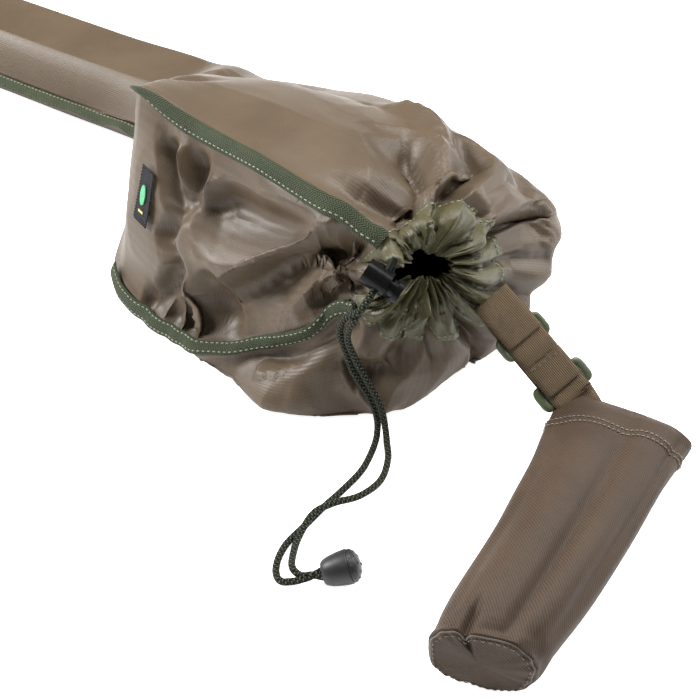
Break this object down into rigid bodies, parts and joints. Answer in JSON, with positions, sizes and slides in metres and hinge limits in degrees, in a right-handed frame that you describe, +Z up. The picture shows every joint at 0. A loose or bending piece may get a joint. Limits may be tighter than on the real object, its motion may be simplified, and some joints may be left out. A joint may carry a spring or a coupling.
{
  "type": "fishing rod case",
  "caption": "Soft fishing rod case: long fabric sleeve with a gusseted reel pouch, gathered drawcord mouth and a strapped butt pocket.",
  "frame": {"origin": "on the flat underside of the bag, below the sleeve's centre line and halfway along the reel pouch", "axes": "+X along the sleeve from the closed tip to the gathered mouth, +Y to the side away from the pouch, +Z up as the case lies on a surface"},
  "size_m": [1.5243, 0.3604, 0.1368],
  "materials": {
    "brown_nylon": "satin-coated nylon with a fine weave",
    "brown_pocket": "twill nylon",
    "green_nylon": "satin nylon, gathered",
    "green_tape": "herringbone binding tape",
    "tan_webbing": "ribbed polypropylene webbing",
    "braided_cord": "round braid",
    "black_label": "woven label",
    "black_plastic": "satin moulded nylon",
    "green_acetal": "moulded acetal",
    "spring_steel": "bright wire"
  },
  "bodies": {
    "bag": {"upper_panel": "brown_nylon", "lower_panel": "brown_nylon", "gusset": "brown_nylon", "upper_binding": "green_tape", "lower_binding": "green_tape", "tube_binding": "green_tape", "tip_binding": "green_tape", "mouth_casing": "green_nylon", "side_label": "black_label", "drawcord_loop": "braided_cord", "drawcord_strand_a": "braided_cord", "drawcord_strand_b": "braided_cord", "toggle_bell": "black_plastic", "toggle_plug": "black_plastic", "cord_knot": "braided_cord"},
    "cord_lock": {"cord_lock_body": "black_plastic"},
    "lock_button": {"cord_lock_button": "black_plastic", "cord_lock_spring": "spring_steel"},
    "strap_upper_part": {"strap_upper": "tan_webbing"},
    "slider_a_part": {"slider_a": "green_acetal"},
    "strap_link_part": {"strap_link": "tan_webbing"},
    "slider_b_part": {"slider_b": "green_acetal"},
    "pocket_part": {"strap_lower": "tan_webbing", "butt_pocket": "brown_pocket", "pocket_hem": "brown_pocket", "pocket_end": "brown_pocket"}
  },
  "joints": [
    {"name": "cord_lock_slide", "type": "slide", "parent": "bag", "child": "cord_lock", "axis": [-0.1605, -0.7714, -0.6157], "range_m": [0, 0.008]},
    {"name": "button_press", "type": "slide", "parent": "cord_lock", "child": "lock_button", "axis": [-0.901, -0.1402, 0.4105], "range_m": [0, 0.0043], "stiffness_N_per_m": 900, "deforming": ["cord_lock_spring"]},
    {"name": "strap_fold", "type": "hinge", "parent": "bag", "child": "strap_upper_part", "pos_m": [0.136, -0.112, 0.063], "axis": [0.3573, 0.8586, 0.3675], "range_deg": [-46, 0]},
    {"name": "slider_a_swing", "type": "hinge", "parent": "strap_upper_part", "child": "slider_a_part", "pos_m": [0.15257, -0.1142, 0.05202], "axis": [0.3573, 0.8586, 0.3675], "range_deg": [-10, 20]},
    {"name": "strap_link_swing", "type": "hinge", "parent": "slider_a_part", "child": "strap_link_part", "pos_m": [0.16458, -0.11579, 0.04406], "axis": [0.3573, 0.8586, 0.3675], "range_deg": [-20, 25]},
    {"name": "slider_b_swing", "type": "hinge", "parent": "strap_link_part", "child": "slider_b_part", "pos_m": [0.1824, -0.11815, 0.03225], "axis": [0.3573, 0.8586, 0.3675], "range_deg": [-10, 20]},
    {"name": "pocket_swing", "type": "hinge", "parent": "slider_b_part", "child": "pocket_part", "pos_m": [0.19441, -0.11974, 0.02429], "axis": [0.3573, 0.8586, 0.3675], "range_deg": [-20, 25]}
  ]
}
